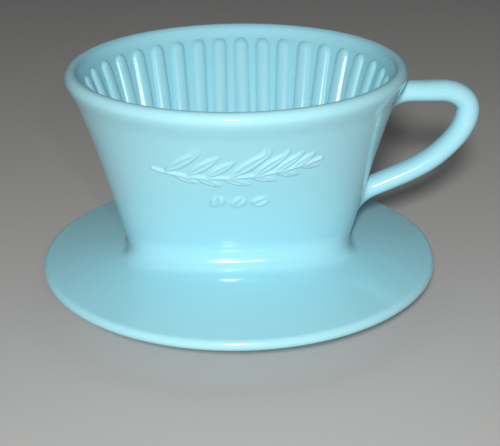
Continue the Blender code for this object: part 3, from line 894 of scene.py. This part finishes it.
def foot_ring(sizes):
    """Grid of the turned foot: coves against the saucer, rounded corners, a bare face."""
    angles = np.linspace(0, math.tau, 240, endpoint=False)
    outer, inner = (FOOT_HIGH[0] - FOOT_LOW[0]) / 2, FOOT_INNER_RADIUS
    land, cove, corner = SAUCER_LAND_HEIGHT, 1.3 * MM, 0.9 * MM
    quarter = np.linspace(0, math.pi / 2, 8)
    outside = np.column_stack(
        [outer + cove - cove * np.sin(quarter), land - cove + cove * np.cos(quarter)]
    )
    outside[0, 1] += 0.03 * MM
    falls = np.column_stack([np.full(6, outer), np.linspace(land - cove, corner, 8)[1:-1]])
    outer_corner = np.column_stack(
        [outer - corner + corner * np.cos(quarter), corner - corner * np.sin(quarter)]
    )
    face = np.column_stack([np.linspace(outer - corner, inner + corner, 8)[1:-1], np.zeros(6)])
    mirror = outer + inner
    half = np.concatenate([outside, falls, outer_corner, face[:3]])
    profile = np.concatenate([half, np.column_stack([mirror - half[:, 0], half[:, 1]])[::-1]])
    closing = np.array([[inner - cove, land + 0.4 * MM], [outer + cove, land + 0.4 * MM]])
    profile = np.concatenate([profile, closing])
    grid = turned(profile, angles)
    edge = 0.62 * MM + 0.12 * MM * np.sin(5 * angles) + 0.07 * MM * np.sin(13 * angles + 1)
    bare = smooth_step(0.15 * MM, -0.15 * MM, grid[..., 2] - edge)
    return grid, 0.3 * (1 - bare), bare


# -------------------------------------------------------------------------- materials


def new_group(name, inputs, outputs):
    """A shader node group with its sockets, given as (name, kind, default)."""
    group = bpy.data.node_groups.new(name, "ShaderNodeTree")
    for label, kind, default in inputs:
        socket = group.interface.new_socket(name=label, in_out="INPUT", socket_type=kind)
        socket.default_value = default
    for label, kind in outputs:
        group.interface.new_socket(name=label, in_out="OUTPUT", socket_type=kind)
    return group, group.nodes.new("NodeGroupInput"), group.nodes.new("NodeGroupOutput")


def math_node(tree, operation, first, second=None, third=None, clamp=False):
    """A Math node; each operand is a socket to link or a number to set."""
    node = tree.nodes.new("ShaderNodeMath")
    node.operation = operation
    node.use_clamp = clamp
    for socket, value in zip(node.inputs, (first, second, third)):
        if isinstance(value, bpy.types.NodeSocket):
            tree.links.new(value, socket)
        elif value is not None:
            socket.default_value = value
    return node.outputs[0]


def noise_node(tree, scale, detail, roughness=0.5):
    """Noise on Object coordinates, in cycles per metre."""
    place = tree.nodes.new("ShaderNodeTexCoord")
    noise = tree.nodes.new("ShaderNodeTexNoise")
    tree.links.new(place.outputs["Object"], noise.inputs["Vector"])
    if isinstance(scale, bpy.types.NodeSocket):
        tree.links.new(scale, noise.inputs["Scale"])
    else:
        noise.inputs["Scale"].default_value = scale
    noise.inputs["Detail"].default_value = detail
    noise.inputs["Roughness"].default_value = roughness
    return noise.outputs["Fac"]


def mix_colour(tree, share, first, second):
    """A colour Mix node; each operand is a socket to link or a value to set."""
    node = tree.nodes.new("ShaderNodeMix")
    node.data_type = "RGBA"
    sockets = (node.inputs[0], node.inputs[6], node.inputs[7])
    for socket, value in zip(sockets, (share, first, second)):
        if isinstance(value, bpy.types.NodeSocket):
            tree.links.new(value, socket)
        else:
            socket.default_value = value
    return node.outputs[2]


def mottle_group():
    """Uneven coat: broad clouds and fine grain as a shade from -1 to 1, and a height."""
    group, given, result = new_group(
        "uneven_coat",
        [
            ("Cloud Scale", "NodeSocketFloat", 45.0),
            ("Grain Scale", "NodeSocketFloat", 900.0),
            ("Grain Share", "NodeSocketFloat", 0.3),
        ],
        [("Shade", "NodeSocketFloat"), ("Height", "NodeSocketFloat")],
    )
    cloud = noise_node(group, given.outputs["Cloud Scale"], 2.0)
    grain = noise_node(group, given.outputs["Grain Scale"], 3.0, 0.6)
    cloud = math_node(group, "MULTIPLY_ADD", cloud, 4.0, -2.0)
    grain = math_node(group, "MULTIPLY_ADD", grain, 2.0, -1.0)
    grain_part = math_node(group, "MULTIPLY", grain, given.outputs["Grain Share"])
    shade = math_node(group, "ADD", cloud, grain_part)
    group.links.new(shade, result.inputs["Shade"])
    ripple = noise_node(group, math_node(group, "MULTIPLY", given.outputs["Cloud Scale"], 4.0), 1.0)
    height = math_node(group, "ADD", ripple, math_node(group, "MULTIPLY", grain_part, 0.2))
    group.links.new(height, result.inputs["Height"])
    return group


def speck_group():
    """Small round specks, few and scattered, as a mask: near the middles of some cells."""
    group, given, result = new_group(
        "kiln_specks",
        [
            ("Scale", "NodeSocketFloat", 160.0),
            ("Size", "NodeSocketFloat", 0.08),
            ("Share", "NodeSocketFloat", 0.1),
        ],
        [("Mask", "NodeSocketFloat")],
    )
    place = group.nodes.new("ShaderNodeTexCoord")
    cells = group.nodes.new("ShaderNodeTexVoronoi")
    group.links.new(place.outputs["Object"], cells.inputs["Vector"])
    group.links.new(given.outputs["Scale"], cells.inputs["Scale"])
    split = group.nodes.new("ShaderNodeSeparateColor")
    group.links.new(cells.outputs["Color"], split.inputs[0])
    chosen = math_node(group, "LESS_THAN", split.outputs[0], given.outputs["Share"])
    size = math_node(group, "MULTIPLY", given.outputs["Size"], split.outputs[1])
    near = math_node(group, "SUBTRACT", size, cells.outputs["Distance"])
    soft = math_node(group, "MULTIPLY", near, 30.0, clamp=True)
    group.links.new(math_node(group, "MULTIPLY", soft, chosen), result.inputs["Mask"])
    return group


def place_group(tree, name, maker, *values):
    """A node of the named group, which is made at its first use, with its inputs' values."""
    node = tree.nodes.new("ShaderNodeGroup")
    node.node_tree = bpy.data.node_groups.get(name) or maker()
    for socket, value in zip(node.inputs, values):
        socket.default_value = value
    return node


def uneven_coat(tree, cloud_scale, grain_scale, grain_share):
    return place_group(tree, "uneven_coat", mottle_group, cloud_scale, grain_scale, grain_share)


def kiln_specks(tree, scale, size, share):
    return place_group(tree, "kiln_specks", speck_group, scale, size, share)


def bump_node(tree, shader, height, strength, distance):
    """Bump on the shader from a height socket, in metres at height 1."""
    bump = tree.nodes.new("ShaderNodeBump")
    bump.inputs["Strength"].default_value = strength
    bump.inputs["Distance"].default_value = distance
    tree.links.new(height, bump.inputs["Height"])
    tree.links.new(bump.outputs["Normal"], shader.inputs["Normal"])


def attribute(tree, name):
    node = tree.nodes.new("ShaderNodeAttribute")
    node.attribute_name = name
    return node.outputs["Fac"]


def new_material(name):
    material = bpy.data.materials.new(name)
    material.use_nodes = True
    return material, material.node_tree, material.node_tree.nodes["Principled BSDF"]


def rgba(rgb):
    return (*rgb, 1.0)


def glaze_colour(tree, colours, coat, specks):
    """Glaze colour from the painted glaze depth attribute: -1 is thin glaze and 1 is gathered glaze,
    and inside the cone, along the rib feet, at the lip's inner edge and on the sprig's flanks the
    darkening is painted shade. pooling runs from -1, thin, to 1, gathered.
    """
    drift = math_node(tree, "MULTIPLY", coat.outputs["Shade"], 0.13)
    depth = math_node(tree, "ADD", attribute(tree, "pooling_and_shade"), drift)
    thick_and_shade = math_node(tree, "MAXIMUM", depth, 0.0, clamp=True)
    thin = math_node(tree, "MULTIPLY", depth, -1.0, clamp=True)
    base = mix_colour(tree, thick_and_shade, rgba(colours.body), rgba(colours.pooled_and_shade))
    base = mix_colour(tree, thin, base, rgba(colours.thin))
    speck_share = math_node(tree, "MULTIPLY", specks.outputs["Mask"], 0.45)
    return mix_colour(tree, speck_share, base, (0.10, 0.16, 0.15, 1.0))


def glaze_material(colours):
    """Glossy aqua glaze: thin on crests, deeper in hollows, with painted shade inside the cone, few
    specks, duller where worn.

    Wear is the attribute "bare" at a low value, which only roughens the glaze.
    """
    material, tree, shader = new_material("aqua_glaze")
    coat = uneven_coat(tree, 38.0, 700.0, 0.25)
    specks = kiln_specks(tree, 120.0, 0.055, 0.07)
    tree.links.new(glaze_colour(tree, colours, coat, specks), shader.inputs["Base Color"])
    rough = math_node(tree, "MULTIPLY_ADD", coat.outputs["Shade"], 0.02, 0.14)
    rough = math_node(tree, "MULTIPLY_ADD", specks.outputs["Mask"], 0.2, rough)
    rough = math_node(tree, "MULTIPLY_ADD", attribute(tree, "bare"), 0.5, rough)
    tree.links.new(rough, shader.inputs["Roughness"])
    shader.inputs["IOR"].default_value = 1.5
    bump_node(tree, shader, coat.outputs["Height"], 0.5, 0.12 * MM)
    return material


def foot_material(colours):
    """The same glaze, wiped off the standing face, where matt clay with grit shows."""
    material, tree, shader = new_material("wiped_foot")
    coat = uneven_coat(tree, 60.0, 1800.0, 0.6)
    specks = kiln_specks(tree, 420.0, 0.25, 0.3)
    glaze = glaze_colour(tree, colours, coat, specks)
    bare = attribute(tree, "bare")
    grit = math_node(tree, "MULTIPLY", specks.outputs["Mask"], 0.5)
    clay = mix_colour(tree, grit, rgba(colours.clay), (0.30, 0.27, 0.22, 1.0))
    tree.links.new(mix_colour(tree, bare, glaze, clay), shader.inputs["Base Color"])
    rough = math_node(tree, "MULTIPLY_ADD", bare, 0.6, 0.16)
    tree.links.new(rough, shader.inputs["Roughness"])
    shader.inputs["IOR"].default_value = 1.5
    height = math_node(tree, "MULTIPLY", coat.outputs["Shade"], bare)
    bump_node(tree, shader, height, 0.6, 0.2 * MM)
    return material


def floor_material(rgb):
    """Plain matt paper-like floor with a very faint unevenness."""
    material, tree, shader = new_material("pale_floor")
    coat = uneven_coat(tree, 6.0, 600.0, 0.4)
    share = math_node(tree, "MULTIPLY_ADD", coat.outputs["Shade"], 0.12, 0.5, clamp=True)
    light = [min(c * 1.04, 1.0) for c in rgb]
    dark = [c * 0.96 for c in rgb]
    tree.links.new(mix_colour(tree, share, rgba(dark), rgba(light)), shader.inputs["Base Color"])
    shader.inputs["Roughness"].default_value = 0.85
    return material


def shared_glaze(colours):
    return bpy.data.materials.get("aqua_glaze") or glaze_material(colours)


# ----------------------------------------------------------------------------- lights


def area_light(name, place, target, size, power, tint):
    """A disc light of that diameter at place, turned to face target."""
    light = bpy.data.lights.new(name, "AREA")
    light.shape = "DISK"
    light.size = size
    light.energy = power
    light.color = tint
    lamp = bpy.data.objects.new(name, light)
    lamp.location = place
    way = Vector(target) - Vector(place)
    lamp.rotation_euler = way.to_track_quat("-Z", "Y").to_euler()
    bpy.context.collection.objects.link(lamp)
    return lamp


# -------------------------------------------------------------------------- operators


class DRIPPER_OT_filter_cone(bpy.types.Operator):
    """Build the ribbed cone with its moulded sprig"""

    bl_idname = "dripper.filter_cone"
    bl_label = "Filter Cone"

    def execute(self, context):
        grid, pooling_and_shade, worn = filter_cone(context.scene.dripper_sizes)
        piece = shell("cone_ribbed_wall", grid, pooling_and_shade, bare=worn)
        join_frame(piece, "filter_cone", shared_glaze(context.scene.dripper_glaze))
        return {"FINISHED"}


class DRIPPER_OT_drip_floor(bpy.types.Operator):
    """Build the floor of the well with its three drip holes"""

    bl_idname = "dripper.drip_floor"
    bl_label = "Drip Floor"

    def execute(self, context):
        cells = drip_floor(context.scene.dripper_sizes)
        columns = cells[0].shape[1]
        rows = cells[0].shape[0]
        points = np.concatenate([cell.reshape(-1, 3) for cell in cells])
        points = points + np.array([AXIS_X, 0.0, 0.0])
        quads = quads_between(rows, columns, closed_rows=True)
        quads = np.concatenate([quads + n * rows * columns for n in range(3)])
        piece = slab("well_floor", points, quads)
        join_frame(piece, "drip_floor", shared_glaze(context.scene.dripper_glaze))
        return {"FINISHED"}


class DRIPPER_OT_saucer(bpy.types.Operator):
    """Build the domed saucer with the neck that carries the cone"""

    bl_idname = "dripper.saucer"
    bl_label = "Saucer"

    def execute(self, context):
        grid, pooling_and_shade = saucer(context.scene.dripper_sizes)
        piece = shell("saucer_and_neck", grid, pooling_and_shade)
        join_frame(piece, "saucer", shared_glaze(context.scene.dripper_glaze))
        return {"FINISHED"}


class DRIPPER_OT_foot_ring(bpy.types.Operator):
    """Build the foot ring with its bare standing face"""

    bl_idname = "dripper.foot_ring"
    bl_label = "Foot Ring"

    def execute(self, context):
        grid, pooling_and_shade, bare = foot_ring(context.scene.dripper_sizes)
        piece = shell("turned_foot", grid, pooling_and_shade, bare=bare)
        join_frame(piece, "foot_ring", foot_material(context.scene.dripper_glaze))
        return {"FINISHED"}


class DRIPPER_OT_handle(bpy.types.Operator):
    """Build the loop handle with its roots feathered into the cone"""

    bl_idname = "dripper.handle"
    bl_label = "Handle"

    def execute(self, context):
        grid, pooling_and_shade = handle(context.scene.dripper_sizes)
        piece = shell("loop_handle", grid, pooling_and_shade, closed_rows=False)
        join_frame(piece, "handle", shared_glaze(context.scene.dripper_glaze))
        return {"FINISHED"}


class DRIPPER_OT_stage(bpy.types.Operator):
    """Set the floor, the soft lights and the camera"""

    bl_idname = "dripper.stage"
    bl_label = "Stage"

    def execute(self, context):
        settings = context.scene.dripper_stage
        half = 4.0
        corners = [(-half, -half, 0), (half, -half, 0), (half, half, 0), (-half, half, 0)]
        mesh = bpy.data.meshes.new("floor")
        mesh.from_pydata(corners, [], [(0, 1, 2, 3)])
        mesh.materials.append(floor_material(settings.floor))
        floor = bpy.data.objects.new("floor", mesh)
        context.collection.objects.link(floor)
        world = bpy.data.worlds.new("soft_room")
        world.use_nodes = True
        background = world.node_tree.nodes["Background"]
        background.inputs["Color"].default_value = (0.93, 0.97, 1.0, 1.0)
        background.inputs["Strength"].default_value = settings.sky
        context.scene.world = world
        middle = (AXIS_X, 0.0, 0.045)
        white, cool = (1.0, 1.0, 1.0), (0.95, 0.98, 1.0)
        area_light("key_disc", (-0.045, -0.57, 0.32), middle, 0.06, settings.key_power, white)
        area_light("glint_disc", (0.06, -0.56, 0.28), middle, 0.02, 0.25, white)
        area_light("top_softbox", (0.1, 0.35, 0.9), middle, 0.6, 0.3, cool)
        self.place_camera(context)
        context.scene.view_settings.view_transform = "Standard"
        return {"FINISHED"}

    def place_camera(self, context):
        """Camera from its heading, its pitch below level and its roll."""
        heading, pitch, roll = 0.0211, 0.4074, -0.0114
        forward = Vector(
            (
                math.sin(heading) * math.cos(pitch),
                math.cos(heading) * math.cos(pitch),
                -math.sin(pitch),
            )
        )
        level = Vector((math.cos(heading), -math.sin(heading), 0.0))
        upright = level.cross(forward)
        right = level * math.cos(roll) + upright * math.sin(roll)
        up = upright * math.cos(roll) - level * math.sin(roll)
        turn = Matrix((right, up, -forward)).transposed().to_4x4()
        data = bpy.data.cameras.new("camera")
        data.sensor_width = 36.0
        data.lens = 82.37
        data.clip_start = 0.01
        data.clip_end = 20.0
        camera = bpy.data.objects.new("camera", data)
        camera.matrix_world = Matrix.Translation((-9.94 * MM, -346.09 * MM, 172.87 * MM)) @ turn
        context.collection.objects.link(camera)
        context.scene.camera = camera


class DRIPPER_PT_panel(bpy.types.Panel):
    """Buttons and settings of the dripper"""

    bl_label = "Dripper"
    bl_idname = "DRIPPER_PT_panel"
    bl_space_type = "VIEW_3D"
    bl_region_type = "UI"
    bl_category = "Dripper"

    def draw(self, context):
        for operator in OPERATORS:
            self.layout.operator(operator.bl_idname)
        for group in ("dripper_sizes", "dripper_glaze", "dripper_stage"):
            box = self.layout.box()
            settings = getattr(context.scene, group)
            for name in settings.__annotations__:
                box.prop(settings, name)


OPERATORS = (
    DRIPPER_OT_filter_cone,
    DRIPPER_OT_drip_floor,
    DRIPPER_OT_saucer,
    DRIPPER_OT_foot_ring,
    DRIPPER_OT_handle,
    DRIPPER_OT_stage,
)
SETTINGS = (
    ("dripper_sizes", DripperSizes),
    ("dripper_glaze", DripperGlaze),
    ("dripper_stage", DripperStage),
)


def register():
    for name, group in SETTINGS:
        bpy.utils.register_class(group)
        setattr(bpy.types.Scene, name, bpy.props.PointerProperty(type=group))
    for operator in OPERATORS:
        bpy.utils.register_class(operator)
    bpy.utils.register_class(DRIPPER_PT_panel)


def unregister():
    bpy.utils.unregister_class(DRIPPER_PT_panel)
    for operator in reversed(OPERATORS):
        bpy.utils.unregister_class(operator)
    for name, group in reversed(SETTINGS):
        delattr(bpy.types.Scene, name)
        bpy.utils.unregister_class(group)


def main():
    register()
    bpy.ops.dripper.filter_cone()
    bpy.ops.dripper.drip_floor()
    bpy.ops.dripper.saucer()
    bpy.ops.dripper.foot_ring()
    bpy.ops.dripper.handle()
    bpy.ops.dripper.stage()


if __name__ == "__main__":
    main()
